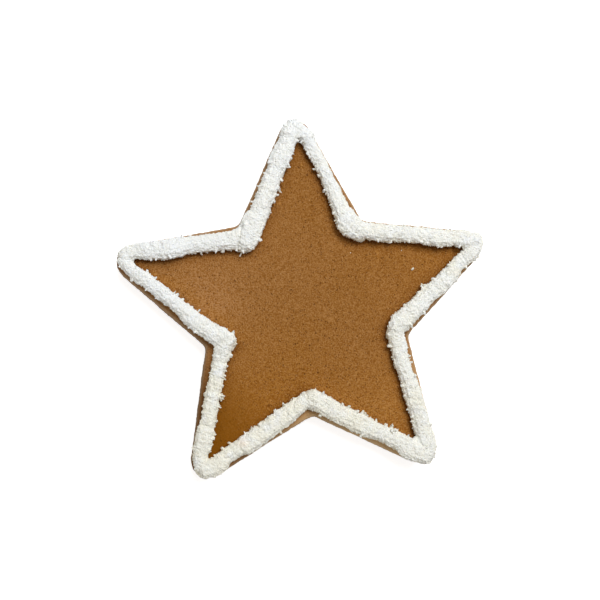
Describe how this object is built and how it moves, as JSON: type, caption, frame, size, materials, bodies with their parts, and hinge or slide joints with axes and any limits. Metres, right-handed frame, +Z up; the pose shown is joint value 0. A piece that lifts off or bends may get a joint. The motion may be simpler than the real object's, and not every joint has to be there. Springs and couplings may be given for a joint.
{
  "type": "gingerbread star cookie",
  "caption": "Flat baked gingerbread star with rounded tips, edged along its rim by a raised border of rough, crumbly white piped icing.",
  "frame": {"origin": "middle of the star, on the flat underside that the cookie rests on", "axes": "+Z up out of the iced face; +Y towards the first tip of the star; +X to the right of it, seen from above"},
  "size_m": [0.0991, 0.0948, 0.0107],
  "materials": {
    "gingerbread": "dry, fine-grained baked gingerbread",
    "icing": "dry, matt, crumbly crust of set icing"
  },
  "bodies": {
    "root": {"gingerbread": "gingerbread", "icing": "icing"}
  },
  "joints": []
}
